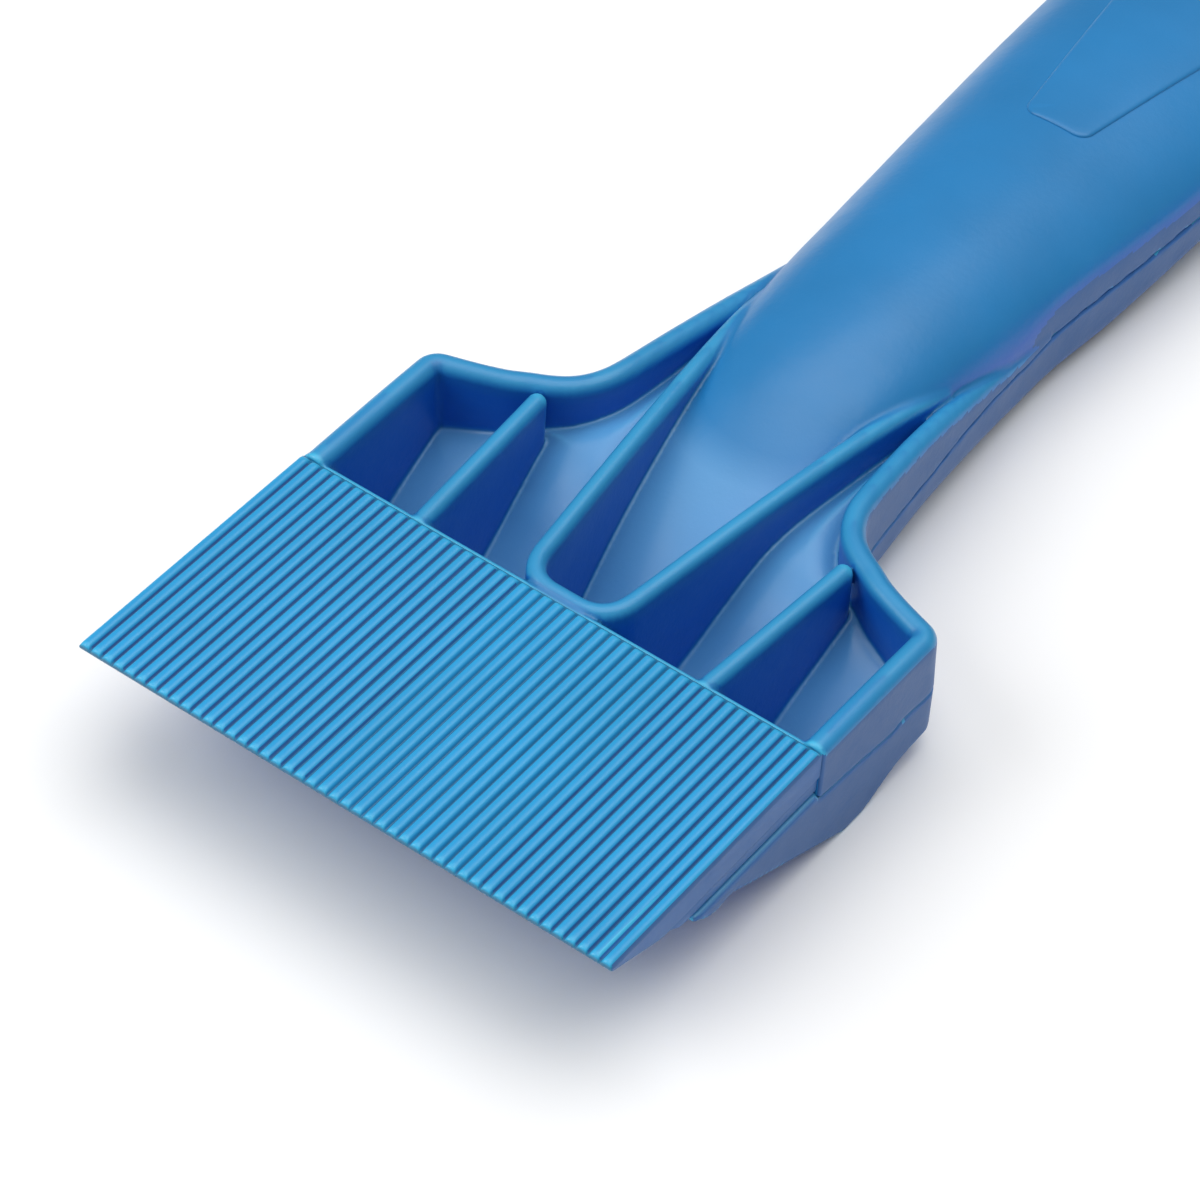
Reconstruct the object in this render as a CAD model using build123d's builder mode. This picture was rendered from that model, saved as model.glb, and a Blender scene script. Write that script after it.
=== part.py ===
"""Windshield ice scraper: ribbed blade, blade carrier, two welded shells and a label plate.

Frame: +X is the scraper's right, +Y runs from the cutting edge to the end of the grip, +Z is up.
The origin is the middle of the footprint on the resting surface: the heel and the belly of the
handle touch Z = 0. Lengths are millimetres. Most points are given as a distance back from the
cutting edge and a depth below the ridge tops, which lie in one level plane.
"""
import os
from math import cos, radians, sin

from build123d import *

os.makedirs("parts", exist_ok=True)

# ---- driving dimensions ------------------------------------------------------------------
LENGTH = 280.0            # cutting edge to the end of the grip
BLADE_WIDTH = 100.0       # cutting edge
RIDGE_TOP_Z = 26.2        # ridge tops above the resting surface
SEAM_DEPTH = 12.6         # where the two shells meet
WALL = 2.6                # wall of both shells
FIT = 0.1                 # clearance between mating pieces

# blade
RIDGE_COUNT = 46
RIDGE_PITCH = BLADE_WIDTH / RIDGE_COUNT
RIDGE_WIDTH = 0.88 * RIDGE_PITCH
RIDGE_HEIGHT = 0.8
RIDGE_END = 51.4          # rear end of every ridge
BLADE_END = 53.2          # rear face of the blade
BLADE_REAR_HALF = 49.2    # the sides taper in a little towards the rear
PLATE_DEPTH = 6.1         # underside of the ribbed plate
PLATE_NOSE = 14.2         # where the front bevel reaches that underside
EDGE_THICKNESS = 0.6      # flat of the cutting edge

# carrier under the blade
CARRIER_DEPTH = 9.1
CARRIER_NOSE = 20.0
CARRIER_END = 51.2
TONGUE_END = 57.2
TONGUE_HALF = 43.0
PEG_RADIUS = 1.3
PEG_DISTANCE = 55.2
PEG_SPACING = 20.0
PEG_COUNT = 5
PEG_TOP = 4.6
RIVET_RADIUS = 2.0
RIVET_LENGTH = 2.4
RIVET_DISTANCE = 38.0
RIVET_SPACING = 28.0
RIVET_COUNT = 3

# head
NOSE_START = 20.6         # front lip of the lower shell, under the blade
HEAD_START = 53.4         # front of the cross wall, right behind the blade
SHOULDER = 86.4           # rear corners of the head
SHOULDER_HALF = 49.9
SHOULDER_RADIUS = 4.5
NECK = 101.4              # where the head has narrowed to the handle
NECK_HALF = 25.7
RIM = 4.1                 # rounded rim around the head
RIB = 3.2                 # ribs inside the head
RIM_DEPTH = 0.8           # top of rim and ribs, next to the blade
CREST = 1.2               # flat top of the wall behind the blade
RIB_FRONT = 27.2          # straight ribs, half width in front and at the rear
RIB_REAR = 29.6
RIB_END = 91.0
U_FRONT = 7.4             # U-shaped rib, half width in front and at the rear
U_REAR = 16.8
U_START = 55.6
U_END = 130.0
U_CORNER = 4.8
CROSS_WALL_REAR = 58.8    # foot of the wall behind the blade
GAP_DEPTH = 9.9           # top of the lower shell's nose, below the shadow gap
NOSE_RIB = 2.0            # ribs in the nose that carry the blade carrier
NOSE_RIB_SPACING = 18.0
NOSE_RIB_COUNT = 5

# grip
SPREAD = 1.0              # how far the arch of the handle would reach past its sides, cut off flush
BOTTOM_ROUND = 4.5
HANG_HOLE_RADIUS = 5.0
HANG_HOLE_DISTANCE = 265.0
HANG_BOSS_WALL = 2.2
POST_RADIUS = 3.4         # posts that line up the shells inside the grip
POST_PIN_RADIUS = 1.6
POST_PIN_LENGTH = 5.0
POST_DISTANCES = (150.0, 180.0, 215.0)

# label plate let into the top of the grip
LABEL_START = 191.0
LABEL_END = 250.0
LABEL_FRONT_HALF = 6.2
LABEL_REAR_HALF = 14.8
LABEL_THICKNESS = 1.6
LABEL_PROUD = 0.5
LABEL_CORNER = 3.0

SEAM_Z = RIDGE_TOP_Z - SEAM_DEPTH
TALL = 60.0               # safely taller than the scraper, for cutting tools


def back(distance):
    """Y of a point this far behind the cutting edge."""
    return distance - LENGTH / 2


def down(depth):
    """Z of a point this far below the ridge tops."""
    return RIDGE_TOP_Z - depth


def side(*points):
    """Points of a side profile, given as (distance, depth) pairs, in the YZ plane."""
    return [(back(distance), down(depth)) for distance, depth in points]


def plan(*points):
    """Points of a plan outline, given as (half width, distance) pairs, in the XY plane."""
    return [(half, back(distance)) for half, distance in points]


def moved_in(inset, *points):
    """Plan points given as (half width, distance, outward normal in degrees), moved in by inset."""
    return plan(*[(half - inset * cos(radians(angle)), distance - inset * sin(radians(angle)))
                  for half, distance, angle in points])


def outline(start, inset):
    """Plan outline of head and handle from one distance backwards, moved inwards by inset."""
    corner_radius = max(SHOULDER_RADIUS - inset, FIT)
    half = SHOULDER_HALF - inset
    rear = SHOULDER - inset
    with BuildSketch() as shape:
        with BuildLine():
            front = Polyline(plan((0, start), (half, start), (half, rear - corner_radius)))
            corner = RadiusArc(front @ 1, plan((half - corner_radius, rear))[0], corner_radius)
            shoulder = Spline([corner @ 1] + moved_in(inset, (37.0, 90.2, 62), (NECK_HALF, NECK, 8)),
                              tangents=((-1, 0.3), (-0.14, 1)))
            grip = Spline([shoulder @ 1] + moved_in(inset, (23.1, 126, 4), (20.8, 158, 0), (23.0, 195, -3),
                                                    (25.7, 236, 0)), tangents=((-0.14, 1), (0, 1)))
            Spline([grip @ 1] + moved_in(inset, (16.5, 272, 50), (0, LENGTH, 90)), tangents=((0, 1), (-1, 0)))
            Line(plan((0, LENGTH - inset))[0], front @ 0)
        make_face()
        mirror(about=Plane.YZ)
    return shape.sketch


def lower_profile(lift):
    """Side profile of nose, heel and handle underside, open upwards, its floor raised by lift."""
    with BuildSketch(Plane.YZ) as shape:
        with BuildLine():
            nose = Polyline(side((NOSE_START, -TALL), (NOSE_START, GAP_DEPTH - lift), (25.8, 13.0 - lift),
                                 (31.1, 12.7 - lift), (63.0, 26.2 - lift), (65.2, 26.2 - lift),
                                 (67.0, 24.8 - lift), (76.0, 23.4 - lift)))
            belly = Spline([nose @ 1] + side((100, 23.6 - lift), (130, 24.6 - lift), (168, 26.5 - lift),
                                             (190, 25.2 - lift), (215, 22.8 - lift), (245, 20.6 - lift),
                                             (270, 19.4 - lift)))
            Polyline([belly @ 1] + side((LENGTH + 20, 18.0), (LENGTH + 20, -TALL), (NOSE_START, -TALL)))
        make_face()
    return shape.sketch


def dome(wider, higher, first, last):
    """Solid under the arched top of the handle, made wider and higher, between two of its sections."""
    # distance, half width, depth of the crown, depth where the arch meets the sides
    sections = (
        (92, 9.0, 10.3, 11.8), (99, 14.5, 5.9, 9.5), (106, 17.2, 2.4, 8.6), (114, 18.2, -0.4, 7.8),
        (126, 18.8, -2.6, 6.4), (142, 19.9, -3.9, 7.0), (158, 20.8, -4.2, 7.4), (176, 21.6, -3.9, 7.6),
        (195, 23.0, -3.3, 8.0), (215, 24.7, -2.9, 8.6), (236, 25.7, -1.8, 9.2), (256, 23.8, 0.4, 9.6),
        (268, 18.6, 2.6, 10.2), (276, 11.6, 4.8, 10.8), (279.6, 4.0, 7.4, 11.4),
    )
    with BuildPart() as solid:
        for distance, half, crown, foot in sections[first:last]:
            with BuildSketch(Plane.XZ.offset(-back(distance))):
                with BuildLine():
                    arch = EllipticalCenterArc((0, down(foot)), half + wider, foot - crown + higher,
                                               arc_size=180)
                    Polyline([arch @ 1, (-half - wider, SEAM_Z), (half + wider, SEAM_Z), arch @ 0])
                make_face()
        loft()
    return solid.part


def ramp(lift):
    """Solid under the floor of the head, which climbs from the heel to the arched handle."""
    with BuildPart() as solid:
        with BuildSketch(Plane.YZ):
            with BuildLine():
                floor = Spline(side((68.5, 24.2 + lift), (81, 16.2 + lift), (91, 10.4 + lift),
                                    (100, 8.5 + lift), (150, 8.5 + lift)), tangents=((1, 0.6), (1, 0)))
                Polyline([floor @ 1] + side((150, 30.0 + lift), (68.5, 30.0 + lift)) + [floor @ 0])
            make_face()
        extrude(amount=TALL, both=True)
    return solid.part


def prism(half_front, half_rear, start, end, corner, top):
    """Upright prism over a tapered plan with rounded corners, up to a height."""
    with BuildPart() as solid:
        with BuildSketch():
            with BuildLine():
                Polyline(plan((-half_front, start), (half_front, start), (half_rear, end), (-half_rear, end)),
                         close=True)
            make_face()
            fillet(vertices(), corner)
        extrude(amount=top)
    return solid.part


def pegs(radius, distance, start, end):
    """Row of round pegs across the head, between two depths."""
    with BuildPart() as solid:
        with BuildSketch(Plane.XY.offset(down(end))):
            with Locations((0, back(distance))):
                with GridLocations(PEG_SPACING, 1, PEG_COUNT, 1):
                    Circle(radius)
        extrude(amount=end - start)
    return solid.part


def posts(radius, start, end):
    """Round posts down the middle of the grip, between two depths."""
    with BuildPart() as solid:
        with BuildSketch(Plane.XY.offset(down(end))):
            with Locations([(0, back(distance)) for distance in POST_DISTANCES]):
                Circle(radius)
        extrude(amount=end - start)
    return solid.part


def hang_tube(radius):
    """Upright cylinder on the axis of the hanging hole."""
    with BuildPart() as solid:
        with BuildSketch():
            with Locations((0, back(HANG_HOLE_DISTANCE))):
                Circle(radius)
        extrude(amount=TALL)
    return solid.part


def handle_bottom_edges(shell):
    """Edges where the sides of the handle meet its underside, behind the head."""
    def is_one(edge):
        box = edge.bounding_box()
        outside = abs(edge.center().X) > 0.001 or box.min.Y > back(LENGTH - HANG_HOLE_RADIUS * 2.5)
        return box.min.Y > back(SHOULDER - FIT) and box.max.Z < SEAM_Z - FIT and outside
    return [edge for edge in shell.part.edges() if is_one(edge)]


def clip_to_handle(solid):
    """The part of a solid that lies inside the lower half of the handle."""
    with BuildPart() as clipped:
        add(solid)
        extrude(lower_profile(FIT), amount=TALL, both=True, mode=Mode.INTERSECT)
        with BuildSketch(Plane.XY.offset(SEAM_Z)):
            Rectangle(2 * BLADE_WIDTH, 2 * LENGTH)
        extrude(amount=TALL, mode=Mode.SUBTRACT)
    return clipped.part


# ---- ribbed blade ------------------------------------------------------------------------
with BuildPart() as ribbed_blade:
    with BuildSketch(Plane.YZ):
        with BuildLine():
            Polyline(side((0, RIDGE_HEIGHT), (0, RIDGE_HEIGHT + EDGE_THICKNESS), (PLATE_NOSE, PLATE_DEPTH),
                          (BLADE_END, PLATE_DEPTH), (BLADE_END, RIDGE_HEIGHT)), close=True)
        make_face()
    extrude(amount=BLADE_WIDTH / 2, both=True)
    with BuildSketch(Plane.XY):
        with BuildLine():
            Polyline(plan((-BLADE_WIDTH / 2, 0), (BLADE_WIDTH / 2, 0), (BLADE_REAR_HALF, BLADE_END),
                          (-BLADE_REAR_HALF, BLADE_END)), close=True)
        make_face()
    extrude(amount=TALL, mode=Mode.INTERSECT)
    # rounded ridges from the cutting edge to just short of the rear face
    with BuildSketch(Plane.XZ.offset(-back(0))):
        with Locations((0, down(RIDGE_HEIGHT))):
            with GridLocations(RIDGE_PITCH, 1, RIDGE_COUNT, 1):
                Ellipse(RIDGE_WIDTH / 2, RIDGE_HEIGHT)
        with Locations((0, down(2 * RIDGE_HEIGHT))):
            Rectangle(2 * BLADE_WIDTH, 2 * RIDGE_HEIGHT, mode=Mode.SUBTRACT)
    extrude(amount=-RIDGE_END)
    # slots for the rivets of the carrier
    with BuildSketch(Plane.XY.offset(down(PLATE_DEPTH))):
        with Locations((0, back(RIVET_DISTANCE))):
            with GridLocations(RIVET_SPACING, 1, RIVET_COUNT, 1):
                Circle(RIVET_RADIUS + FIT)
    extrude(amount=RIVET_LENGTH + FIT, mode=Mode.SUBTRACT)
ribbed_blade.part.label = "ribbed_blade"
export_step(ribbed_blade.part, "parts/ribbed_blade.step")


# ---- blade carrier -----------------------------------------------------------------------
with BuildPart() as blade_carrier:
    with BuildSketch(Plane.YZ):
        with BuildLine():
            Polyline(side((PLATE_NOSE, PLATE_DEPTH), (CARRIER_NOSE, CARRIER_DEPTH),
                          (CARRIER_END, CARRIER_DEPTH), (CARRIER_END, PLATE_DEPTH)), close=True)
        make_face()
    extrude(amount=BLADE_REAR_HALF, both=True)
    # tongue that slides into the cross wall of the upper shell
    with BuildSketch(Plane.YZ):
        with BuildLine():
            Polyline(side((CARRIER_END, PLATE_DEPTH), (CARRIER_END, CARRIER_DEPTH),
                          (TONGUE_END, CARRIER_DEPTH), (TONGUE_END, PLATE_DEPTH)), close=True)
        make_face()
    extrude(amount=TONGUE_HALF, both=True)
    add(pegs(PEG_RADIUS + FIT, PEG_DISTANCE, 0, SEAM_DEPTH), mode=Mode.SUBTRACT)
    # rivets that locate the ribbed blade on the carrier
    with BuildSketch(Plane.XY.offset(down(PLATE_DEPTH))):
        with Locations((0, back(RIVET_DISTANCE))):
            with GridLocations(RIVET_SPACING, 1, RIVET_COUNT, 1):
                Circle(RIVET_RADIUS)
    extrude(amount=RIVET_LENGTH)
blade_carrier.part.label = "blade_carrier"
export_step(blade_carrier.part, "parts/blade_carrier.step")


# ---- lower shell -------------------------------------------------------------------------
with BuildPart() as tray:
    # room inside the nose, and inside the head and handle, with the cross wall between them left
    extrude(outline(NOSE_START, WALL), amount=TALL)
    extrude(lower_profile(WALL), amount=TALL, both=True, mode=Mode.INTERSECT)
    with BuildSketch():
        with Locations((0, back((HEAD_START + CROSS_WALL_REAR) / 2))):
            Rectangle(2 * BLADE_WIDTH, CROSS_WALL_REAR - HEAD_START)
        with Locations((0, back(HEAD_START / 2))):
            with GridLocations(NOSE_RIB_SPACING, 1, NOSE_RIB_COUNT, 1):
                Rectangle(NOSE_RIB, HEAD_START)
    extrude(amount=TALL, mode=Mode.SUBTRACT)

with BuildPart() as lower_shell:
    extrude(outline(NOSE_START, 0), amount=TALL)
    extrude(lower_profile(0), amount=TALL, both=True, mode=Mode.INTERSECT)
    # everything above the seam, and above the shadow gap under the blade
    with BuildSketch(Plane.YZ):
        with BuildLine():
            Polyline(side((0, GAP_DEPTH), (HEAD_START - FIT, GAP_DEPTH), (HEAD_START - FIT, SEAM_DEPTH),
                          (LENGTH + 10, SEAM_DEPTH), (LENGTH + 10, -TALL), (0, -TALL)), close=True)
        make_face()
    extrude(amount=TALL, both=True, mode=Mode.SUBTRACT)
    fillet(handle_bottom_edges(lower_shell), BOTTOM_ROUND)
    add(tray.part, mode=Mode.SUBTRACT)
    # lands on the nose ribs, which the blade carrier rests on
    with BuildSketch(Plane.XY.offset(down(GAP_DEPTH))):
        with Locations((0, back((CARRIER_NOSE + HEAD_START) / 2 + NOSE_RIB))):
            with GridLocations(NOSE_RIB_SPACING, 1, NOSE_RIB_COUNT, 1):
                Rectangle(NOSE_RIB, CARRIER_END - CARRIER_NOSE - 3 * NOSE_RIB)
    extrude(amount=GAP_DEPTH - CARRIER_DEPTH)
    # pegs that lock the tongue of the carrier, and sockets for the posts of the upper shell
    add(pegs(PEG_RADIUS, PEG_DISTANCE, PEG_TOP, SEAM_DEPTH))
    add(clip_to_handle(posts(POST_RADIUS, SEAM_DEPTH, RIDGE_TOP_Z)))
    add(posts(POST_PIN_RADIUS + FIT, SEAM_DEPTH, SEAM_DEPTH + POST_PIN_LENGTH + FIT), mode=Mode.SUBTRACT)
    # tube round the hanging hole
    add(clip_to_handle(hang_tube(HANG_HOLE_RADIUS + HANG_BOSS_WALL)))
    add(hang_tube(HANG_HOLE_RADIUS), mode=Mode.SUBTRACT)
lower_shell.part.label = "lower_shell"
export_step(lower_shell.part, "parts/lower_shell.step")


# ---- upper shell -------------------------------------------------------------------------
with BuildPart() as upper_room:
    # where the upper shell may be: inside the lower shell's walls, or above the seam
    extrude(outline(CROSS_WALL_REAR + FIT, WALL + FIT), amount=TALL)
    extrude(lower_profile(WALL + FIT), amount=TALL, both=True, mode=Mode.INTERSECT)
    with BuildSketch(Plane.XY.offset(SEAM_Z)):
        add(outline(HEAD_START, 0))
    extrude(amount=TALL)

with BuildPart() as rim:
    # wall round the head, drooping to the seam where it runs into the handle
    extrude(outline(HEAD_START, 0), amount=TALL)
    extrude(outline(HEAD_START - 2 * RIM, RIM), amount=TALL, mode=Mode.SUBTRACT)
    with BuildSketch(Plane.YZ):
        with BuildLine():
            crest = Spline(side((HEAD_START, RIM_DEPTH), (90, 1.3), (106, 1.9), (120, 3.4), (134, 5.2),
                                (144, 7.6), (152, 10.4), (158, SEAM_DEPTH)))
            Polyline([crest @ 1] + side((HEAD_START, SEAM_DEPTH)) + [crest @ 0])
        make_face()
    extrude(amount=TALL, both=True, mode=Mode.INTERSECT)

with BuildPart() as ribs:
    # a straight rib each side and a U-shaped rib in the middle
    with BuildSketch():
        with BuildLine():
            Polyline(plan((RIB_FRONT - RIB / 2, HEAD_START + 1), (RIB_FRONT + RIB / 2, HEAD_START + 1),
                          (RIB_REAR + RIB / 2, RIB_END), (RIB_REAR - RIB / 2, RIB_END)), close=True)
        make_face()
        mirror(about=Plane.YZ)
    extrude(amount=down(RIM_DEPTH))
    add(prism(U_FRONT + RIB / 2, U_REAR + RIB / 2, U_START, U_END, U_CORNER, down(RIM_DEPTH)))
    add(prism(U_FRONT - RIB / 2, U_REAR - RIB / 2, U_START + RIB, U_END + RIB, U_CORNER - RIB, TALL),
        mode=Mode.SUBTRACT)

with BuildPart() as pillars:
    add(posts(POST_RADIUS, -TALL, SEAM_DEPTH))
    add(hang_tube(HANG_HOLE_RADIUS + HANG_BOSS_WALL))
    add(dome(0, -FIT, 0, None), mode=Mode.INTERSECT)

with BuildPart() as label_recess:
    add(prism(LABEL_FRONT_HALF + FIT, LABEL_REAR_HALF + FIT, LABEL_START - FIT, LABEL_END + FIT,
              LABEL_CORNER, TALL))
    add(dome(SPREAD, LABEL_PROUD - LABEL_THICKNESS - FIT, 0, None), mode=Mode.SUBTRACT)

with BuildPart() as upper_shell:
    # floor of the head and arched top of the handle as one skin, with the ribs standing on it
    add(ramp(0))
    add(dome(SPREAD, 0, 0, None))
    add(ribs.part)
    add(ramp(WALL), mode=Mode.SUBTRACT)
    add(dome(-WALL, -WALL, 1, -1), mode=Mode.SUBTRACT)
    add(upper_room.part, mode=Mode.INTERSECT)
    add(rim.part)
    # cross wall behind the blade, sloping backwards to a thick foot
    with BuildSketch(Plane.YZ):
        with BuildLine():
            Polyline(side((HEAD_START, RIM_DEPTH), (HEAD_START + CREST, RIM_DEPTH), (CROSS_WALL_REAR, 5.4),
                          (CROSS_WALL_REAR, SEAM_DEPTH), (HEAD_START, SEAM_DEPTH)), close=True)
        make_face()
    extrude(amount=SHOULDER_HALF, both=True)
    # slot for the tongue of the carrier, and holes for the pegs that lock it
    with BuildSketch(Plane.YZ):
        with BuildLine():
            Polyline(side((HEAD_START, PLATE_DEPTH - FIT), (TONGUE_END + FIT, PLATE_DEPTH - FIT),
                          (TONGUE_END + FIT, CARRIER_DEPTH + FIT), (HEAD_START, CARRIER_DEPTH + FIT)),
                     close=True)
        make_face()
    extrude(amount=TONGUE_HALF + FIT, both=True, mode=Mode.SUBTRACT)
    add(pegs(PEG_RADIUS + FIT, PEG_DISTANCE, PEG_TOP - FIT, SEAM_DEPTH), mode=Mode.SUBTRACT)
    # posts with pins for the sockets of the lower shell, and the tube round the hanging hole
    add(pillars.part)
    add(posts(POST_PIN_RADIUS, SEAM_DEPTH, SEAM_DEPTH + POST_PIN_LENGTH))
    add(hang_tube(HANG_HOLE_RADIUS), mode=Mode.SUBTRACT)
    add(label_recess.part, mode=Mode.SUBTRACT)
upper_shell.part.label = "upper_shell"
export_step(upper_shell.part, "parts/upper_shell.step")


# ---- label plate -------------------------------------------------------------------------
with BuildPart() as label_plate:
    add(prism(LABEL_FRONT_HALF, LABEL_REAR_HALF, LABEL_START, LABEL_END, LABEL_CORNER, TALL))
    add(dome(SPREAD, LABEL_PROUD, 0, None), mode=Mode.INTERSECT)
    add(dome(SPREAD, LABEL_PROUD - LABEL_THICKNESS, 0, None), mode=Mode.SUBTRACT)
label_plate.part.label = "label_plate"
export_step(label_plate.part, "parts/label_plate.step")
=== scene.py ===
"""Looks of the windshield ice scraper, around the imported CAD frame.

Shapes are worked out in millimetres as x across, d back from the cutting edge and h above the ridge tops,
and are moved into the frame when a mesh is made. The two shells are level sets of distance fields, which
gives them the soft edges and fillets of a moulding; blade, carrier and label plate are lofted loop by loop.
"""
import math

import bmesh
import bpy
import numpy as np
from mathutils import Matrix, Vector


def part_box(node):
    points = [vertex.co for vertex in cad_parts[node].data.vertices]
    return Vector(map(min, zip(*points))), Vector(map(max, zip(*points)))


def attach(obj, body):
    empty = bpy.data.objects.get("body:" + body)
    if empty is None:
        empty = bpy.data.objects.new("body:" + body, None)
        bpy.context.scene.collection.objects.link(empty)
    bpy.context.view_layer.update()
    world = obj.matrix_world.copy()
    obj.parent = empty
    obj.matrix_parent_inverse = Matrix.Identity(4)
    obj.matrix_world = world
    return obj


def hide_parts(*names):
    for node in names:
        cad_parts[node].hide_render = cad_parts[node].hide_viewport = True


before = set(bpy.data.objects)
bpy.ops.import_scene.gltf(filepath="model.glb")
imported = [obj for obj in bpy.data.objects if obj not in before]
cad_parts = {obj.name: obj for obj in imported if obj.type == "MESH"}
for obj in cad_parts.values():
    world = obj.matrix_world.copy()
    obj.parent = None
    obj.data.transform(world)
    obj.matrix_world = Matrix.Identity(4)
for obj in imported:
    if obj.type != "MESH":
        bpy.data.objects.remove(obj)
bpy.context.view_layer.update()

MM = 0.001
BLADE_LOW, BLADE_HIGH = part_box("ribbed_blade")
EDGE_Y = BLADE_LOW[1]              # the cutting edge
RIDGE_Z = BLADE_HIGH[2]            # the ridge tops
HALF_BLADE = BLADE_HIGH[0] / MM
LENGTH = (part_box("upper_shell")[1][1] - EDGE_Y) / MM
BOTTOM = (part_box("lower_shell")[0][2] - RIDGE_Z) / MM


# ---- curves and distances ----------------------------------------------------------------
def smooth_points(points, step=0.25):
    """Dense points along a smooth curve through the given ones, by chord-length cubic pieces."""
    p = np.array(points, float)
    t = np.concatenate([[0], np.cumsum(np.hypot(*np.diff(p, axis=0).T))])
    slope = np.diff(p, axis=0) / np.diff(t)[:, None]
    run = np.diff(t)[:, None]
    inner = (slope[:-1] * run[1:] + slope[1:] * run[:-1]) / (run[1:] + run[:-1])
    m = np.vstack([slope[0], inner, slope[-1]])
    out = [p[:1]]
    for i in range(len(p) - 1):
        length = t[i + 1] - t[i]
        n = max(int(length / step), 1)
        u = (np.arange(1, n + 1) / n)[:, None]
        a, b = (2 * u ** 3 - 3 * u ** 2 + 1), (u ** 3 - 2 * u ** 2 + u)
        c, e = (-2 * u ** 3 + 3 * u ** 2), (u ** 3 - u ** 2)
        out.append(a * p[i] + b * length * m[i] + c * p[i + 1] + e * length * m[i + 1])
    return np.vstack(out)


def track(*points):
    """A smooth function of distance through (distance, value) points."""
    dense = smooth_points(points)
    order = np.argsort(dense[:, 0])
    at, value = dense[order, 0], dense[order, 1]
    return lambda d: np.interp(d, at, value)


def kinked(*points):
    """A function of distance through (distance, value) points, straight between them."""
    at, value = np.array(points, float).T
    return lambda d: np.interp(d, at, value)


def line_distance(x, d, line):
    """Distance in plan from points to a line of points."""
    shape = np.broadcast(x, d).shape
    px, pd = (np.broadcast_to(v, shape).ravel() for v in (x, d))
    a, b = line[:-1], line[1:]
    run = b - a
    square = (run ** 2).sum(1)
    best = np.empty(len(px))
    for first in range(0, len(px), 20000):
        part = slice(first, first + 20000)
        dx, dd = px[part, None] - a[:, 0], pd[part, None] - a[:, 1]
        t = np.clip((dx * run[:, 0] + dd * run[:, 1]) / square, 0, 1)
        best[part] = ((dx - t * run[:, 0]) ** 2 + (dd - t * run[:, 1]) ** 2).min(1)
    return np.sqrt(best).reshape(shape)


def cut(a, b, r):
    """Inside both fields, with the edge between them rounded."""
    return np.minimum(-r, np.maximum(a, b)) + np.hypot(np.maximum(a + r, 0), np.maximum(b + r, 0))


def join(a, b, r):
    """Inside either field, with a fillet between them."""
    return np.maximum(r, np.minimum(a, b)) - np.hypot(np.maximum(r - a, 0), np.maximum(r - b, 0))


def wall(side, h, top, r):
    """An upright wall with a rounded top: side is the distance from its middle, r half its thickness."""
    return np.hypot(side, np.maximum(h - (top - r), 0)) - r


# ---- plan of head and handle --------------------------------------------------------------
HEAD_START = 53.3                  # front face of the head, right behind the blade
SHOULDER = 86.6                    # rear of the head
HEAD_HALF = 49.9
SHOULDER_CORNER = 4.5
SHOULDER_TURN = 73                 # degrees that the corner turns before it runs into the neck
LEAN = 1.0                         # the rear of the head leans backwards by this much down to the seam
NECK_LINE = ((43.2, 87.6), (40.0, 88.8), (37.0, 90.1), (34.3, 91.7), (31.4, 93.3), (28.9, 95.2),
             (27.3, 97.3), (26.1, 100.0), (25.5, 102.7), (25.1, 106), (24.7, 110), (24.3, 114),
             (23.85, 118.5), (23.4, 124), (23.05, 129), (22.75, 133.5), (22.3, 140), (21.9, 146),
             (21.55, 152), (21.4, 158), (21.5, 166), (22.1, 173), (23.0, 183), (23.8, 193),
             (24.45, 203), (25.05, 214), (25.7, 232), (25.0, 248), (21.8, 262), (16.4, 271),
             (9.6, 277.2), (4.2, 279.4), (0, LENGTH))


def outline_points():
    """Right half of the outline, from the front of the head to the end of the grip."""
    turn = np.radians(np.linspace(0, SHOULDER_TURN, 14))
    middle = np.array([HEAD_HALF - SHOULDER_CORNER, SHOULDER - SHOULDER_CORNER])
    corner = middle + SHOULDER_CORNER * np.column_stack([np.cos(turn), np.sin(turn)])
    rear = smooth_points([tuple(corner[-1])] + list(NECK_LINE), 0.8)
    return np.vstack([[HEAD_HALF, -5], corner, rear[1:]])


OUTLINE = outline_points()
half_at = kinked(*[(d, x) for x, d in OUTLINE])


def outline_field(ax, d):
    """Signed distance in plan to the outline, negative inside; behind the head it is drawn in by a little."""
    far = line_distance(ax, d, OUTLINE)
    inside = (ax < half_at(d)) & (d < LENGTH)
    return np.where(inside, -far, far) + 0.1 * np.clip((d - 85) / 3, 0, 1)


def leaning_field(ax, d, h):
    """The outline's field, with the rear of the head leaning backwards from the rim to the seam."""
    edge = outline_field(ax, d)
    share = np.clip((-h - 1) / 12, 0, 1) * np.clip((d - 80) / 4, 0, 1) * np.clip((112 - d) / 12, 0, 1)
    return edge + (outline_field(ax, d - LEAN) - edge) * share


# ---- levels along the scraper ---------------------------------------------------------------
RIM = 2.05                         # half thickness of the rim
RIB = 1.6                          # half thickness of the ribs
seam = kinked((20, -10.9), (53, -10.9), (63.5, -12.0), (73, -13.2), (76, -12.5), (83, -13.1),
              (90, -12.9), (122, -12.8), (134, -11.6), (143, -11.6), (154, -12.5), (162, -11.9),
              (205, -12.0), (285, -11.4))
bottom = kinked((18, -8.3), (20.6, -9.9), (25.6, -13.0), (27.9, -13.2), (31.1, -12.7), (34.4, -14.2),
                (62.0, BOTTOM), (67.2, BOTTOM), (69.2, -25.5), (73, -23.8), (77, -22.5), (84, -22.2),
                (92, -22.2), (105, -22.6), (120, -23.3), (135, -24.3), (145, -25.2), (155, BOTTOM),
                (180, BOTTOM), (190, -25.2), (203, -24.0), (215, -22.9), (230, -21.7), (245, -20.8),
                (262, -20.0), (285, -19.2))
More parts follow.
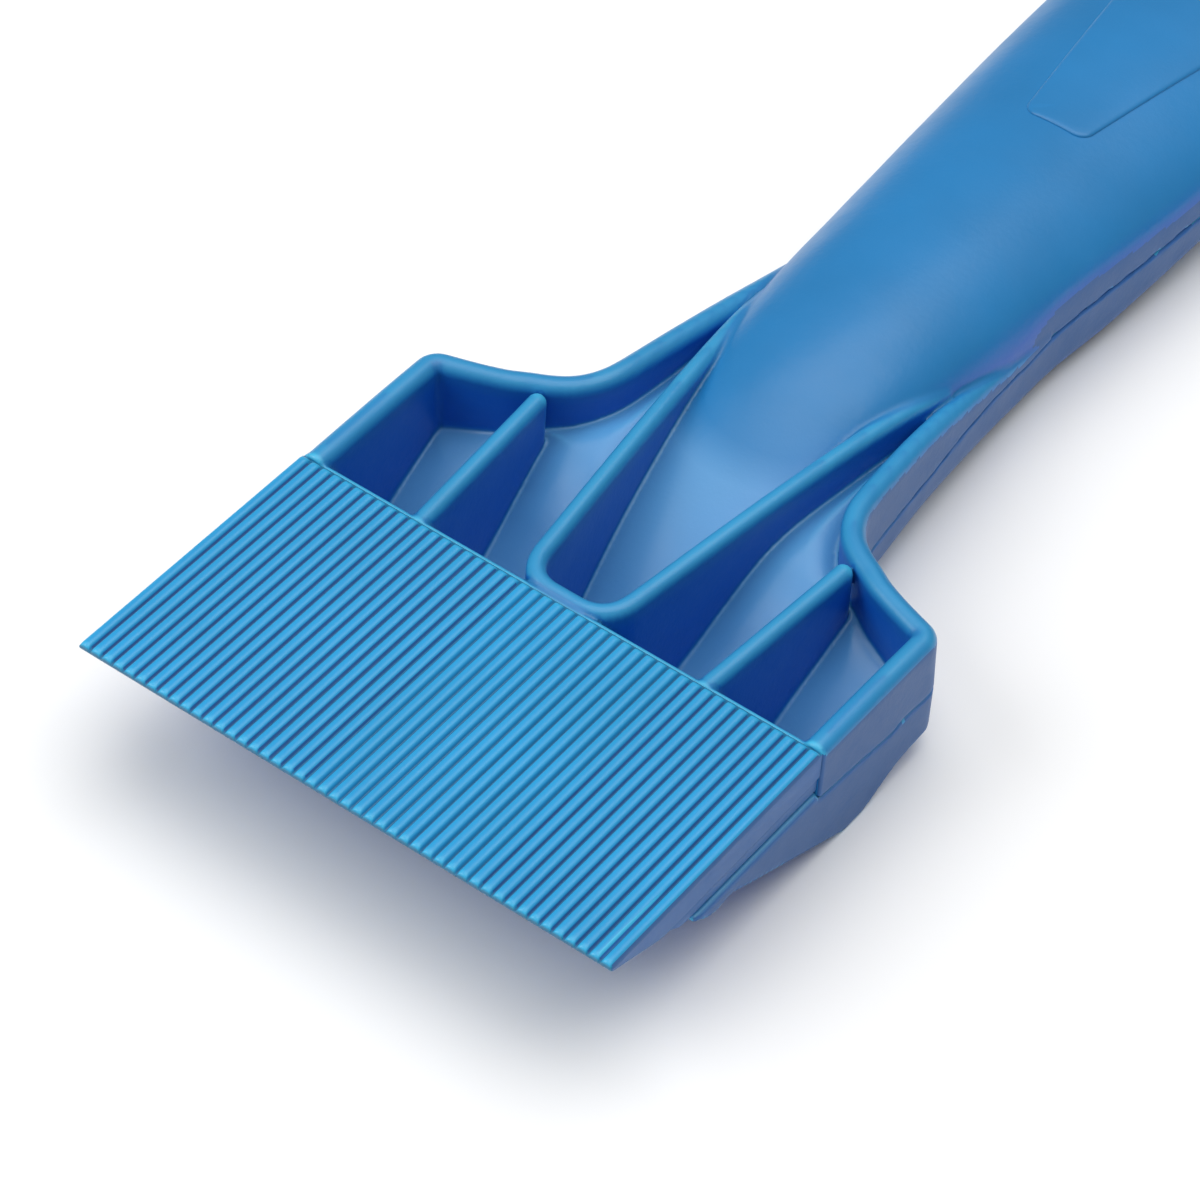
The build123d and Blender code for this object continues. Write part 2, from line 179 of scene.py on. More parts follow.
bottom_round = kinked((18, 0.5), (84, 0.8), (96, 4.5), (130, 6.0), (250, 6.5), (285, 6.5))
rim_top = track((50, -0.4), (76, -0.45), (87, -0.75), (95, -0.9), (101, -1.1), (111, -2.05), (119, -3.0),
                (127.5, -4.4), (136.5, -6.2), (145.5, -8.0), (152.5, -9.6), (158, -11.4), (163, -14),
                (168, -18))
# the arched top of the handle: its height, its rise above its feet, and its half width
crown = track((61.5, -27.5), (67.5, -23.8), (73.5, -19.7), (79.5, -15.6), (85.5, -12.0), (89.5, -9.9),
              (94.5, -7.5), (99.5, -5.1), (105.5, -2.3), (111.5, 0.2), (117.5, 1.9), (125, 3.1), (135, 3.9),
              (145, 4.2), (158, 4.2), (170, 4.0), (191, 3.3), (214, 2.8), (236, 1.6), (256, -0.6),
              (268, -2.7), (276, -5.0), (280, -6.8))
crown_rise = track((62, 3.0), (90, 3.2), (99.5, 4.6), (105.5, 6.5), (111, 8.5), (118, 9.8), (126, 11.0),
                   (142, 12.6), (158, 13.4), (176, 13.6), (195, 13.8), (215, 13.6), (236, 12.4),
                   (256, 10.4), (280, 8.0))
crown_half = track((62, 8.4), (80, 10.9), (89.5, 12.2), (99.5, 13.8), (105.5, 14.9), (111, 15.8),
                   (118, 17.1), (126, 18.3), (136, 19.4), (144, 20.2), (154, 20.95), (164, 21.8),
                   (173, 22.5), (183, 23.35), (193, 24.1), (203, 24.75), (213, 25.3), (223, 25.7),
                   (236, 26.0), (252, 25.1), (266, 22.4), (280, 17.0))
# pocket floors, between the straight ribs and outside them
middle_floor = track((59.5, -29.5), (67.5, -25.0), (69.5, -23.6), (74.5, -19.9), (80.5, -14.9),
                     (85.5, -11.4), (89.5, -9.3), (94.5, -7.9), (99.5, -7.4), (110, -7.2), (125, -7.0),
                     (150, -8.0))
outer_floor = track((59.5, -29.5), (67.5, -24.7), (71, -22.0), (76.5, -18.2), (83, -14.1), (88.5, -10.9),
                    (98.5, -7.0))
PAN = -30.0                        # below everything: nothing but the arch inside the U-shaped rib
SHELL = 2.7                        # wall of the lower shell
FLOOR = 1.2                        # its thinner floor
SEAM_GAP = 0.12                    # each shell ends this far from the seam
POCKETS_START = 59.0               # rear of the solid block behind the blade
POCKETS_END = 118.0
NOSE_START = 20.6                  # front of the lower shell, under the blade
NOSE_TOP = -9.9
FILLET = 0.4                       # between walls, and between floors and arch
ROOT_FILLET = 0.75                 # between walls and floors
EDGE_ROUND = 0.35
DRAFT = 0.07                       # slope of the handle's sides below the seam

U_START = 55.3                     # middle of the front bar of the U-shaped rib


def u_arm(d):
    """Half width of the U-shaped rib's middle line."""
    return 8.2 + 0.125 * (d - 57.5)


def u_rib_points():
    """Middle line of the U-shaped rib: front bar, rounded corner and arm."""
    start, corner = np.array([2.6, U_START]), np.array([8.0, U_START + 0.3])
    end = np.array([u_arm(61.8), 61.8])
    t = np.linspace(0, 1, 10)[:, None]
    bend = (1 - t) ** 2 * start + 2 * t * (1 - t) * corner + t ** 2 * end
    return np.vstack([[0, U_START], bend, [u_arm(133), 133]])


U_RIB = u_rib_points()
SIDE_RIB = np.array([[27.1, 50.0], [29.7, 87.3]])
u_top = track((50, -0.8), (100, -0.8), (110, -1.2), (118, -1.8), (126, -2.8), (133, -4.6))
SIDE_RIB_TOP = -1.2
FRONT_TOP = -1.45                  # top of the wall right behind the blade, just under the blade's lip
HOLE_D = LENGTH - 15.0
HOLE_R = 5.0
HOLE_ROUND = 1.0
HOLE_WALL = 2.2


def side_rib_at(d):
    """Half width at the middle line of a straight rib."""
    (x0, d0), (x1, d1) = SIDE_RIB
    return x0 + (x1 - x0) * (d - d0) / (d1 - d0)


def arch_field(ax, d, h):
    """Under the arched top of the handle: half an ellipse on upright feet."""
    a, b = crown_half(d), crown_rise(d)
    up = h - (crown(d) - b)
    yy = np.maximum(up, 0)
    k0 = np.hypot(ax / a, yy / b)
    k1 = np.hypot(ax / a ** 2, yy / b ** 2) + 1e-9
    return np.where(up > 0, k0 * (k0 - 1) / k1, ax - a)


def upper_field(x, d, h):
    """The upper shell: rim, ribs, pocket floors and arch, open below."""
    ax = np.abs(x)
    edge = leaning_field(ax, d, h)
    to_u = line_distance(ax, d, U_RIB)
    to_rib = line_distance(ax, d, SIDE_RIB)
    # pocket floors, crowned so that they fall away towards the walls
    gap = np.minimum(np.minimum(-edge - 2 * RIM, to_u - RIB), to_rib - RIB)
    fall = (1 - np.clip(gap / 5.5, 0, 1)) ** 2 * np.clip((d - 69) / 12, 0, 1)
    middle = middle_floor(d) - 1.9 * fall
    outer = outer_floor(d) - 1.3 * fall
    level = np.where(ax < side_rib_at(d), middle, outer)
    level = np.where((ax < u_arm(d)) & (d > U_START), PAN, level)
    floor = 0.8 * (h - level)
    body = cut(join(floor, arch_field(ax, d, h), FILLET), edge, 1.2)
    walls = wall(np.abs(edge + RIM), h, rim_top(d), RIM)
    walls = join(walls, wall(to_rib, h, SIDE_RIB_TOP, RIB), FILLET)
    walls = join(walls, wall(to_u, h, u_top(d), RIB), FILLET)
    # the wall right behind the blade slopes back towards its foot
    front = 0.85 * (d - (HEAD_START + 0.6 + 0.6 * np.maximum(-h - 1.2, 0)))
    walls = join(walls, cut(front, h - FRONT_TOP, 0.3), FILLET)
    solid = join(body, walls, ROOT_FILLET)
    # the shell ends at the seam, but the pockets reach down inside the lower shell
    skirt = cut(edge, seam(d) + SEAM_GAP - h, EDGE_ROUND)
    reach = np.maximum(POCKETS_START + 0.1 - d, d - POCKETS_END)
    bucket = np.maximum(np.maximum(edge + SHELL, bottom(d) + 0.6 * FLOOR - h), reach)
    solid = np.maximum(solid, np.minimum(skirt, bucket))
    solid = np.maximum(solid, edge)
    solid = cut(solid, HEAD_START - d, EDGE_ROUND)
    return cut(solid, HOLE_R - np.hypot(x, d - HOLE_D), HOLE_ROUND)


def lower_field(x, d, h):
    """The lower shell: nose, heel and the trough of the handle, with the tube round the hanging hole."""
    ax = np.abs(x)
    edge = leaning_field(ax, d, h)
    top = np.where(d < HEAD_START, NOSE_TOP, seam(d) - SEAM_GAP)
    draft = DRAFT * np.maximum(seam(d) - h, 0) * np.clip((d - 100) / 25, 0, 1)
    solid = cut(edge + draft, 0.93 * (bottom(d) - h), bottom_round(d))
    solid = cut(solid, h - top, 0.3)
    room = np.maximum(np.maximum(edge + SHELL - 0.1, bottom(d) + FLOOR - 0.3 - h), POCKETS_START - d)
    solid = np.maximum(solid, -room)
    solid = cut(solid, NOSE_START - d, 0.3)
    from_hole = np.hypot(x, d - HOLE_D)
    tube = np.maximum(np.maximum(from_hole - HOLE_R - HOLE_WALL, edge), np.maximum(bottom(d) - h, h - top))
    solid = np.minimum(solid, tube)
    return cut(solid, HOLE_R - from_hole, HOLE_ROUND)


# ---- level set to mesh ------------------------------------------------------------------------
CORNERS = [(i, j, k) for i in (0, 1) for j in (0, 1) for k in (0, 1)]
EDGES = [(a, b) for a in range(8) for b in range(a + 1, 8)
         if sum(abs(p - q) for p, q in zip(CORNERS[a], CORNERS[b])) == 1]


def gradient(field, p, e=0.02):
    """Value and gradient of a field at points."""
    value = field(*p.T)
    slope = np.empty_like(p)
    for axis in range(3):
        q = p.copy()
        q[:, axis] += e
        slope[:, axis] = (field(*q.T) - value) / e
    return value, slope


def level_set(field, xs, ds, hs):
    """Closed mesh of a field's zero surface on a grid: one vertex in each cell that it crosses."""
    v = field(xs[:, None, None], ds[None, :, None], hs[None, None, :]).astype(np.float32)
    v[np.abs(v) < 1e-5] = 1e-5
    inside = v < 0
    n = [s - 1 for s in v.shape]
    count = np.zeros(n, np.int8)
    for i, j, k in CORNERS:
        count += inside[i:n[0] + i, j:n[1] + j, k:n[2] + k]
    cells = np.argwhere((count > 0) & (count < 8))
    number = np.full(n, -1, np.int32)
    number[tuple(cells.T)] = np.arange(len(cells))
    axes = (xs, ds, hs)
    at = [np.stack([axes[a][cells[:, a] + c[a]] for a in range(3)], 1) for c in CORNERS]
    value = [v[cells[:, 0] + c[0], cells[:, 1] + c[1], cells[:, 2] + c[2]] for c in CORNERS]
    total, hits = np.zeros((len(cells), 3)), np.zeros(len(cells))
    for a, b in EDGES:
        crossed = (value[a] < 0) != (value[b] < 0)
        share = np.where(crossed, value[a] / np.where(crossed, value[a] - value[b], 1), 0)[:, None]
        total += np.where(crossed[:, None], at[a] + (at[b] - at[a]) * share, 0)
        hits += crossed
    points = total / hits[:, None]
    faces = []
    for axis in range(3):
        b, c = [(1, 2), (2, 0), (0, 1)][axis]
        low = [slice(1, -1)] * 3
        low[axis] = slice(0, n[axis])
        high = list(low)
        high[axis] = slice(1, n[axis] + 1)
        p, q = inside[tuple(low)], inside[tuple(high)]
        for flip in (False, True):
            where = np.argwhere((q & ~p) if flip else (p & ~q))
            for other in (b, c):
                where[:, other] += 1
            quad = []
            for ob, oc in ((-1, -1), (0, -1), (0, 0), (-1, 0)):
                cell = where.copy()
                cell[:, b] += ob
                cell[:, c] += oc
                quad.append(number[tuple(cell.T)])
            quad = np.stack(quad, 1)
            faces.append(quad[:, ::-1] if flip else quad)
    faces = np.vstack(faces)
    pairs = np.vstack([faces[:, [0, 1]], faces[:, [1, 2]], faces[:, [2, 3]], faces[:, [3, 0]]])
    for turn in range(4):
        if 0 < turn:
            # even out the points along the surface before they go back onto it
            mean, near = np.zeros_like(points), np.zeros(len(points))
            for a, b in ((0, 1), (1, 0)):
                for axis in range(3):
                    mean[:, axis] += np.bincount(pairs[:, a], points[pairs[:, b], axis], len(points))
                near += np.bincount(pairs[:, a], minlength=len(points))
            points += 0.4 * (mean / near[:, None] - points)
        value, slope = gradient(field, points)
        move = value[:, None] * slope / np.maximum((slope ** 2).sum(1), 0.2)[:, None]
        points -= np.clip(move, -0.3, 0.3)
    return points, faces


def to_frame(points):
    """Points given as x, d, h in millimetres, in the frame."""
    return np.column_stack([points[:, 0] * MM, points[:, 1] * MM + EDGE_Y, points[:, 2] * MM + RIDGE_Z])


def make_object(name, points, faces, slot, node):
    """A visible piece that stands for a CAD node."""
    mesh = bpy.data.meshes.new(name)
    corners = [list(map(int, f)) for f in faces]
    mesh.from_pydata(to_frame(np.asarray(points, float)).tolist(), [], corners)
    mesh.validate()
    mesh.update()
    mesh.polygons.foreach_set("use_smooth", [True] * len(mesh.polygons))
    obj = bpy.data.objects.new(name, mesh)
    bpy.context.scene.collection.objects.link(obj)
    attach(obj, "root")
    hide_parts(node)
    return obj


def spaced(*stops):
    """Grid lines from (start, step) stops; the last one has only an end."""
    lines = [np.array([stops[0][0]])]
    for (a, step), (b, _) in zip(stops, stops[1:]):
        n = max(int(round((b - a) / step)), 1)
        lines.append(a + (b - a) * np.arange(1, n + 1) / n)
    return np.concatenate(lines)


FINE = 0.55      # grid step, wider along the plain stretch of the handle
REACH = HEAD_HALF + 0.9                 # the grids end outside the shells
upper_grid = (spaced((-REACH, FINE), (REACH, 0)),
              spaced((HEAD_START - 0.8, FINE), (168, FINE * 2.4), (252, FINE * 1.2), (LENGTH + 1.2, 0)),
              np.arange(-24.6, 5.6, FINE))
lower_grid = (spaced((-REACH, FINE * 1.3), (REACH, 0)),
              spaced((19.6, FINE * 1.3), (100, FINE * 2.4), (250, FINE * 1.6), (LENGTH + 1.4, 0)),
              np.arange(BOTTOM - 1.0, -9.0, FINE * 1.1))
upper_mesh = level_set(upper_field, *upper_grid)
upper_shell = make_object("upper_shell_skin", *upper_mesh, "upper_shell", "upper_shell")
lower_mesh = level_set(lower_field, *lower_grid)
lower_shell = make_object("lower_shell_skin", *lower_mesh, "lower_shell", "lower_shell")


# ---- lofted pieces ------------------------------------------------------------------------------
def loft(loops):
    """Closed mesh through loops of the same number of points, with both ends capped."""
    loops = np.array(loops)
    rows, size = loops.shape[:2]
    faces = []
    for r in range(rows - 1):
        for s in range(size):
            t = (s + 1) % size
            faces.append((r * size + s, r * size + t, (r + 1) * size + t, (r + 1) * size + s))
    faces.append(tuple(range(size))[::-1])
    faces.append(tuple(range((rows - 1) * size, rows * size)))
    return loops.reshape(-1, 3), faces


RIDGES = 46
PITCH = 2 * HALF_BLADE / RIDGES
RIDGE_HEIGHT = 0.8
RIDGE_SHARE = 0.43                 # half width of a ridge, as a share of the pitch
RIDGE_TAIL = 51.75                 # where the ridges begin to round off behind
RIDGE_ROUND = 0.9                  # over this length, in front and behind
BLADE_REAR = 53.15
BLADE_REAR_HALF = 49.7
RIDGE_STATIONS = [0.0, 0.12, 0.35, 0.7, 1.1, 2.0] + list(np.linspace(5, 47, 8)) + [
    51.4, 51.8, 52.05, 52.25, 52.38, 52.49, 52.57, 52.65, 52.72, 52.82]


def blade_loop(x, inset):
    """Cross-section of the blade at one place across it: ridge or groove on top, bevelled below."""
    u = (x / PITCH + RIDGES / 2) % 1.0
    across_ridge = np.clip(1 - np.abs((u - 0.5) / RIDGE_SHARE) ** 2.4, 0, 1) ** 0.5
    tops = []
    for d in RIDGE_STATIONS:
        nose = math.sqrt(max(1 - max(1 - d / RIDGE_ROUND, 0) ** 2, 0)) * 0.7 + 0.3
        tail = math.sqrt(max(1 - min(max(d - RIDGE_TAIL, 0) / RIDGE_ROUND, 1) ** 2, 0))
        tops.append((d, -RIDGE_HEIGHT + RIDGE_HEIGHT * across_ridge * nose * tail - inset))
    rear = [(BLADE_REAR - 0.25, -RIDGE_HEIGHT - inset), (BLADE_REAR, -RIDGE_HEIGHT - 0.25 - inset),
            (BLADE_REAR, -5.8 + inset), (BLADE_REAR - 0.3, -6.05 + inset)]
    under = [(13.4, -6.05 + inset), (12.5, -5.85 + inset), (0.5, -1.55), (0.05, -1.35), (0.0, -1.1)]
    return np.array([(x * (1 - (1 - BLADE_REAR_HALF / HALF_BLADE) * d / BLADE_REAR), d, h)
                     for d, h in tops + rear + under])


steps_per_ridge = 12
columns = np.linspace(-HALF_BLADE + 0.12, HALF_BLADE - 0.12, RIDGES * steps_per_ridge + 1)
loops = [blade_loop(-HALF_BLADE, 0.25)]
loops += [blade_loop(x, 0.0) for x in columns]
loops += [blade_loop(HALF_BLADE, 0.25)]
for loop in (loops[0], loops[-1]):
    loop[:, 1] = np.clip(loop[:, 1], 0.15, BLADE_REAR - 0.15)
blade = make_object("ribbed_blade_skin", *loft(loops), "ribbed_blade", "ribbed_blade")


def carrier_loop(x, inset):
    """Cross-section of the carrier, shrunk by inset."""
    points = [(14.4, -6.22), (15.2, -6.12), (52.6, -6.12), (53.0, -6.2), (53.15, -6.4), (53.15, -8.9),
              (53.0, -9.1), (52.6, -9.15), (19.0, -9.15), (18.2, -8.95)]
    middle = np.array([33.0, -7.6])
    return np.array([(x, *(np.array(p) + inset * np.sign(middle - np.array(p)))) for p in points])


CARRIER_HALF = 49.35
END_ROUND = [(0, 0.25), (0.1, 0.08), (0.3, 0.0)]      # how far in from the end, and how much smaller
loops = [carrier_loop(-(CARRIER_HALF - inwards), inset) for inwards, inset in END_ROUND]
loops += [carrier_loop(CARRIER_HALF - inwards, inset) for inwards, inset in END_ROUND[::-1]]
carrier = make_object("blade_carrier_skin", *loft(loops), "blade_carrier", "blade_carrier")

LABEL_START = 191.0
LABEL_END = 249.3
LABEL_FRONT_HALF = 6.1
LABEL_REAR_HALF = 14.6
LABEL_CORNER = 2.8
LABEL_PROUD = 0.5
LABEL_SUNK = -0.9


def label_outline():
    """Plan of the label plate: tapered, with rounded corners."""
    slope = math.atan2(LABEL_REAR_HALF - LABEL_FRONT_HALF, LABEL_END - LABEL_START)
    front = (LABEL_FRONT_HALF - LABEL_CORNER * math.tan(math.pi / 4 - slope / 2), LABEL_START + LABEL_CORNER)
    rear = (LABEL_REAR_HALF - LABEL_CORNER * math.tan(math.pi / 4 + slope / 2), LABEL_END - LABEL_CORNER)
    straight = -math.degrees(slope)
    points = []
    for (cx, cd), first, last in ((front, -90, straight), (rear, straight, 90)):
        for a in np.radians(np.linspace(first, last, 12)):
            points.append((cx + LABEL_CORNER * math.cos(a), cd + LABEL_CORNER * math.sin(a)))
    right = np.array(points)
    loop = np.vstack([right, right[::-1] * [-1, 1]])
    dense = []
    for a, b in zip(loop, np.roll(loop, -1, axis=0)):
        n = max(int(np.hypot(*(b - a)) / 0.8), 1)
        dense += [a + (b - a) * i / n for i in range(n)]
    return np.array(dense)


def arch_height(x, d):
    """Height of the arched top of the handle."""
    a, b = crown_half(d), crown_rise(d)
    return crown(d) - b + b * np.sqrt(np.clip(1 - (x / a) ** 2, 0, 1))


def label_mesh():
    """Rings from the middle line of the underside, round the rim, to the middle line of the top."""
    outline = label_outline()
    spine_d = np.clip(outline[:, 1], LABEL_START + 6, LABEL_END - 13)
    inwards = np.column_stack([np.zeros(len(outline)), spine_d]) - outline
    one_mm = inwards / np.hypot(*inwards.T)[:, None]

    def ring(p, lift):
        return np.column_stack([p, arch_height(p[:, 0], p[:, 1]) + lift])

    rim = [(0, LABEL_SUNK), (0, 0.12), (0.1, 0.26), (0.25, 0.38), (0.5, 0.46), (0.9, LABEL_PROUD)]
    rings = [ring(outline + inwards, LABEL_SUNK)]
    rings += [ring(outline + one_mm * inset, lift) for inset, lift in rim]
    rings += [ring(outline + inwards * share, LABEL_PROUD) for share in (0.3, 0.5, 0.7, 0.85, 1.0)]
    rings = np.array(rings)
    rows, size = rings.shape[:2]
    faces = [(r * size + s, r * size + (s + 1) % size, (r + 1) * size + (s + 1) % size, (r + 1) * size + s)
             for r in range(rows - 1) for s in range(size)]
    return rings.reshape(-1, 3), faces


label = make_object("label_plate_skin", *label_mesh(), "label_plate", "label_plate")


def merge_close(obj):
    """Weld points that lie together and turn all faces outwards."""
    bm = bmesh.new()
    bm.from_mesh(obj.data)
    bmesh.ops.remove_doubles(bm, verts=bm.verts, dist=2e-5)
    bmesh.ops.recalc_face_normals(bm, faces=bm.faces)
    bm.to_mesh(obj.data)
    bm.free()


for piece in (label, blade, carrier):
    merge_close(piece)


# ---- materials ----------------------------------------------------------------------------------
def darkened(colour, share):
    return tuple(c * share for c in colour)


def plastic(name, base, edge_highlight, wall_shade, rough, grain, seed, shade_grooves=False):
    """Moulded polypropylene: slight colour clouds, painted highlights on sharp edges, painted shade in
    hollows and fine grain.

    Upright faces below the ridge tops take a painted wall shade. A grooved piece gets painted shade between
    its ridges, the others a painted sheen on their pocket floors.
    """
    material = bpy.data.materials.new(name)
    material.use_nodes = True
    nodes, links = material.node_tree.nodes, material.node_tree.links
    nodes.clear()
    out = nodes.new("ShaderNodeOutputMaterial")
    shader = nodes.new("ShaderNodeBsdfPrincipled")
    links.new(shader.outputs["BSDF"], out.inputs["Surface"])
    shader.inputs["IOR"].default_value = 1.49
    shader.inputs["Specular IOR Level"].default_value = 0.45

    where = nodes.new("ShaderNodeTexCoord")
    place = nodes.new("ShaderNodeMapping")
    place.inputs["Location"].default_value = (seed, seed * 0.7, -seed)
    links.new(where.outputs["Object"], place.inputs["Vector"])

    def noise(scale, detail, roughness=0.5):
        node = nodes.new("ShaderNodeTexNoise")
        node.inputs["Scale"].default_value = scale
        node.inputs["Detail"].default_value = detail
        node.inputs["Roughness"].default_value = roughness
        links.new(place.outputs["Vector"], node.inputs["Vector"])
        return node.outputs["Fac"]

    def ramp(value, low, high, a, b):
        node = nodes.new("ShaderNodeMapRange")
        node.clamp = True
        for key, number in zip(("From Min", "From Max", "To Min", "To Max"), (low, high, a, b)):
            node.inputs[key].default_value = number
        links.new(value, node.inputs["Value"])
        return node.outputs["Result"]

    def mix(factor, a, b):
        node = nodes.new("ShaderNodeMix")
        node.data_type = "RGBA"
        links.new(factor, node.inputs["Factor"])
        for socket, value in ((node.inputs[6], a), (node.inputs[7], b)):
            if isinstance(value, tuple):
                socket.default_value = (*value, 1)
            else:
                links.new(value, socket)
        return node.outputs[2]

    def product(a, b):
        node = nodes.new("ShaderNodeMath")
        node.operation = "MULTIPLY"
        links.new(a, node.inputs[0])
        links.new(b, node.inputs[1])
        return node.outputs["Value"]

    position = nodes.new("ShaderNodeSeparateXYZ")
    links.new(where.outputs["Object"], position.inputs["Vector"])
    geometry = nodes.new("ShaderNodeNewGeometry")
    facing = nodes.new("ShaderNodeSeparateXYZ")
    links.new(geometry.outputs["Normal"], facing.inputs["Vector"])

    clouds = ramp(noise(38, 3), 0.3, 0.7, 0, 1)
    colour = mix(clouds, darkened(base, 0.88), base)
    # painted shade: upright faces below the ridge tops are darkened towards the wall shade colour
    low = ramp(position.outputs["Z"], RIDGE_Z - 5 * MM, RIDGE_Z + 1 * MM, 1, 0)
    upright = ramp(facing.outputs["Z"], 0.2, 0.68, 1, 0)
    colour = mix(product(low, upright), colour, wall_shade)
    # painted highlight: sharp edges and tops are lightened towards a cyan
    edge_highlight_mask = ramp(geometry.outputs["Pointiness"], 0.505, 0.56, 0, 0.6)
    colour = mix(edge_highlight_mask, colour, edge_highlight)
    # painted shade: creases and hollows are darkened
    crease_shade = ramp(geometry.outputs["Pointiness"], 0.42, 0.495, 0.6, 0)
    colour = mix(crease_shade, colour, darkened(base, 0.4))
    if shade_grooves:
        # painted shade in the grooves between the ridges
        groove_shade = ramp(position.outputs["Z"], RIDGE_Z - RIDGE_HEIGHT * MM, RIDGE_Z - 0.3 * MM, 0.8, 0)
        colour = mix(groove_shade, colour, darkened(base, 0.35))
    else:
        # painted sheen: upward-facing pocket floors low in the head are made paler, as if lit by a soft sheen
        floor_sheen = ramp(facing.outputs["Z"], 0.5, 0.75, 0, 0.55)
        deep_down = ramp(position.outputs["Z"], RIDGE_Z - 7 * MM, RIDGE_Z - 4 * MM, 1, 0)
        in_head = ramp(position.outputs["Y"], EDGE_Y + 98 * MM, EDGE_Y + 118 * MM, 1, 0)
        colour = mix(product(product(floor_sheen, deep_down), in_head), colour, FLOOR_SHEEN)
    links.new(colour, shader.inputs["Base Color"])

    links.new(ramp(noise(160, 5, 0.6), 0.3, 0.75, rough - 0.04, rough + 0.07), shader.inputs["Roughness"])
    bump = nodes.new("ShaderNodeBump")
    bump.inputs["Strength"].default_value = 0.25
    bump.inputs["Distance"].default_value = grain
    links.new(noise(900, 4, 0.6), bump.inputs["Height"])
    broad = nodes.new("ShaderNodeBump")
    broad.inputs["Strength"].default_value = 0.3
    broad.inputs["Distance"].default_value = 0.0012
    links.new(noise(26, 2), broad.inputs["Height"])
    links.new(broad.outputs["Normal"], bump.inputs["Normal"])
    links.new(bump.outputs["Normal"], shader.inputs["Normal"])
    return material


BASE = (0.016, 0.192, 0.460)
EDGE_HIGHLIGHT = (0.070, 0.580, 0.820)       # painted highlight on sharp edges and ridge tops
WALL_SHADE = (0.005, 0.112, 0.500)       # painted shade on upright walls below the ridge tops
SHADED_SIDE = (0.018, 0.105, 0.320)       # painted shade and floor reflection on the outer sides
FLOOR_SHEEN = (0.130, 0.360, 0.640)       # painted sheen on the pocket floors
BLADE = (0.014, 0.285, 0.610)
for piece, args in ((upper_shell, (BASE, EDGE_HIGHLIGHT, WALL_SHADE, 0.34, 0.00015, 3.1)),
                    (lower_shell, (BASE, EDGE_HIGHLIGHT, WALL_SHADE, 0.33, 0.00015, 5.7)),
                    (blade, (BLADE, EDGE_HIGHLIGHT, BLADE, 0.33, 0.0001, 1.3, True)),
                    (carrier, (BASE, BASE, WALL_SHADE, 0.34, 0.0001, 8.2)),
                    (label, (BASE, BASE, BASE, 0.36, 0.00015, 2.4))):
    piece.data.materials.append(plastic(piece.name + "_plastic", *args))

# the upright outer sides are rougher than the rest, and painted greyer and darker: painted shade and painted
# floor reflection
shaded_side_plastic = plastic("shaded_side_plastic", SHADED_SIDE, darkened(SHADED_SIDE, 1.5), SHADED_SIDE, 0.42, 0.0002, 6.6)


def flat_ends(centre, normal):
    """Faces that look sideways, out of the ends of a lofted piece."""
    return np.abs(normal[:, 0]) > 0.9


def shell_sides(centre, normal):
    """Upright outer faces of a shell, with the rounded edges along the seam."""
    x, d, h = (centre - [0, EDGE_Y, RIDGE_Z]).T / MM
    along_seam = np.abs(h - np.where(d < HEAD_START, NOSE_TOP, seam(d))) < 0.55
    outer = (np.abs(normal[:, 2]) < 0.3) | along_seam
    x, d, h = x[outer], d[outer], h[outer]
    outer[outer] = leaning_field(np.abs(x), d, h) > -0.45 - DRAFT * np.clip(-10 - h, 0, 15)
    return outer


for piece, is_side in ((upper_shell, shell_sides), (lower_shell, shell_sides),
                       (blade, flat_ends), (carrier, flat_ends)):
    piece.data.materials.append(shaded_side_plastic)
    polygons = piece.data.polygons
    centre, normal = np.empty(len(polygons) * 3), np.empty(len(polygons) * 3)
    polygons.foreach_get("center", centre)
    polygons.foreach_get("normal", normal)
    side = is_side(centre.reshape(-1, 3), normal.reshape(-1, 3))
    polygons.foreach_set("material_index", side.astype(np.int32))


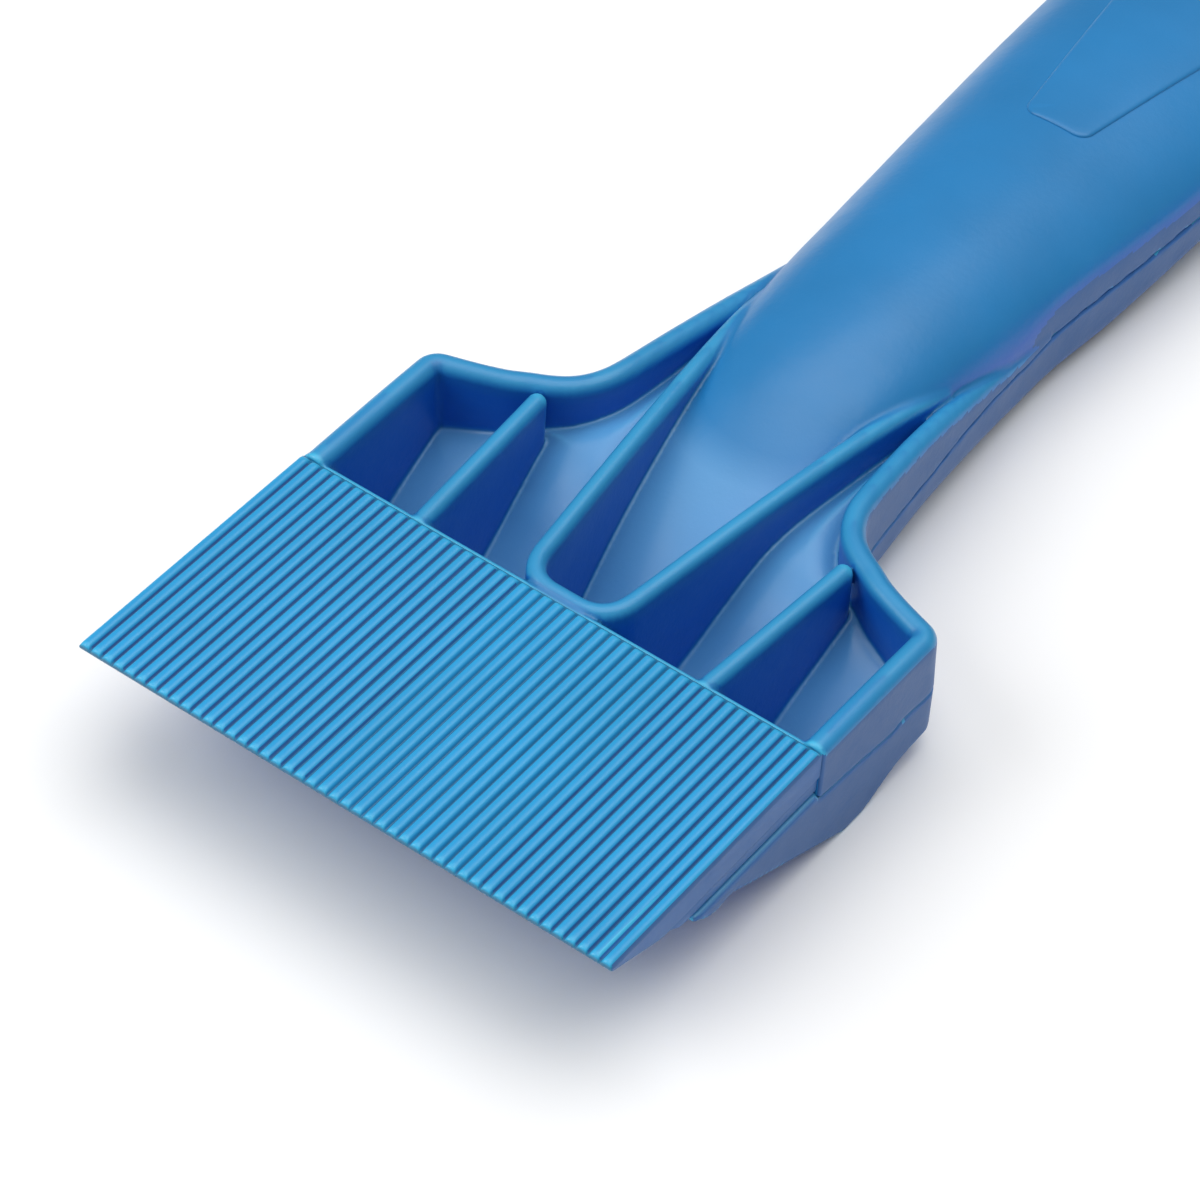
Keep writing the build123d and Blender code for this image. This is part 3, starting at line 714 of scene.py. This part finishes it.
# ---- floor, light and camera ----------------------------------------------------------------------
def stage_floor():
    """A plain pale sheet, 6 m across, for the scraper to lie on."""
    mesh = bpy.data.meshes.new("floor")
    r = 3.0
    mesh.from_pydata([(-r, -r, 0), (r, -r, 0), (r, r, 0), (-r, r, 0)], [], [(0, 1, 2, 3)])
    obj = bpy.data.objects.new("floor", mesh)
    bpy.context.scene.collection.objects.link(obj)
    material = bpy.data.materials.new("floor_paper")
    material.use_nodes = True
    shader = material.node_tree.nodes["Principled BSDF"]
    shader.inputs["Base Color"].default_value = (0.9, 0.9, 0.9, 1)
    shader.inputs["Roughness"].default_value = 0.9
    obj.data.materials.append(material)


def softbox(name, place, aim, size, power):
    """A square area light that points at a place."""
    light = bpy.data.lights.new(name, "AREA")
    light.shape = "SQUARE"
    light.size = size
    light.energy = power
    obj = bpy.data.objects.new(name, light)
    obj.location = place
    obj.rotation_mode = "QUATERNION"
    obj.rotation_quaternion = (Vector(aim) - Vector(place)).to_track_quat("-Z", "Y")
    bpy.context.scene.collection.objects.link(obj)


stage_floor()
softbox("overhead", (0.08, 0.12, 1.1), (0, 0, 0), 1.2, 10.5)
softbox("front_left", (-0.75, -0.85, 0.95), (0, -0.05, 0), 0.9, 9.8)

# the sky is dim at the horizon and brighter overhead
world = bpy.data.worlds.new("studio")
world.use_nodes = True
sky = world.node_tree.nodes["Background"]
sky.inputs["Color"].default_value = (1, 1, 1, 1)
toward = world.node_tree.nodes.new("ShaderNodeTexCoord")
height = world.node_tree.nodes.new("ShaderNodeSeparateXYZ")
glow = world.node_tree.nodes.new("ShaderNodeMapRange")
for key, number in (("From Min", 0.05), ("From Max", 0.75), ("To Min", 0.06), ("To Max", 0.42)):
    glow.inputs[key].default_value = number
world.node_tree.links.new(toward.outputs["Generated"], height.inputs["Vector"])
world.node_tree.links.new(height.outputs["Z"], glow.inputs["Value"])
world.node_tree.links.new(glow.outputs["Result"], sky.inputs["Strength"])
bpy.context.scene.world = world
bpy.context.scene.view_settings.view_transform = "Standard"

camera = bpy.data.objects.new("camera", bpy.data.cameras.new("camera"))
camera.data.sensor_width = 36.0
camera.data.lens = 152.65
camera.data.clip_start, camera.data.clip_end = 0.05, 20
right = Vector((0.8005, 0.5973, 0.0501))
up = Vector((-0.4599, 0.5585, 0.6904))
back = right.cross(up).normalized()
up = back.cross(right).normalized()
turn = Matrix((right.normalized(), up, back)).transposed().to_4x4()
camera.matrix_world = Matrix.Translation((0.3036, -0.5297, 0.5860)) @ turn
bpy.context.scene.collection.objects.link(camera)
bpy.context.scene.camera = camera
